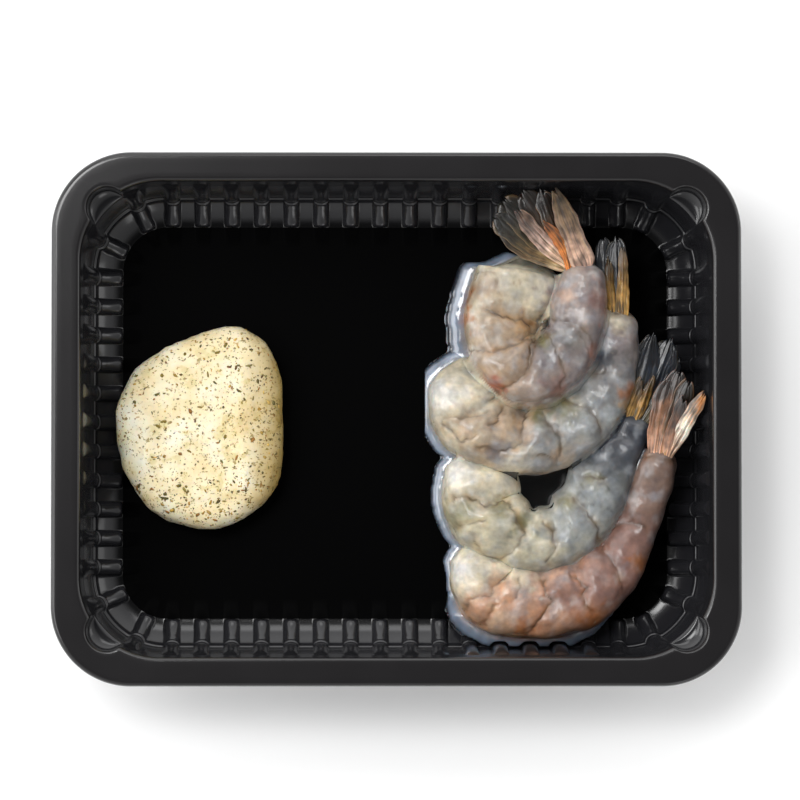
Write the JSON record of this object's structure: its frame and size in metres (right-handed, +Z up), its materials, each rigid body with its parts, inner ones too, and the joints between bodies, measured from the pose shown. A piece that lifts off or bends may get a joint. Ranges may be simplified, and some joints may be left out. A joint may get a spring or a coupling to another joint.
{
  "type": "tray of raw prawns with garlic butter",
  "caption": "Ribbed black food tray holding a heap of raw peeled tail-on prawns at one end and a round pat of garlic and herb butter at the other.",
  "frame": {"origin": "middle of the tray's underside, on the surface that it stands on", "axes": "+Z up out of the tray, +X along its length towards the prawns, +Y across it, away from the viewer"},
  "size_m": [0.19, 0.147, 0.038],
  "materials": {
    "tray_plastic": "smooth black thermoformed sheet with a soft sheen",
    "herb_butter": "soft pale butter with chopped green herbs, slightly wet",
    "prawn_flesh": "wet translucent raw flesh, cream to grey and pink, with amber and dark tail blades"
  },
  "bodies": {
    "root": {"tray": "tray_plastic", "garlic_butter": "herb_butter", "prawn_top": "prawn_flesh", "prawn_right": "prawn_flesh", "prawn_middle": "prawn_flesh", "prawn_front": "prawn_flesh"}
  },
  "joints": []
}
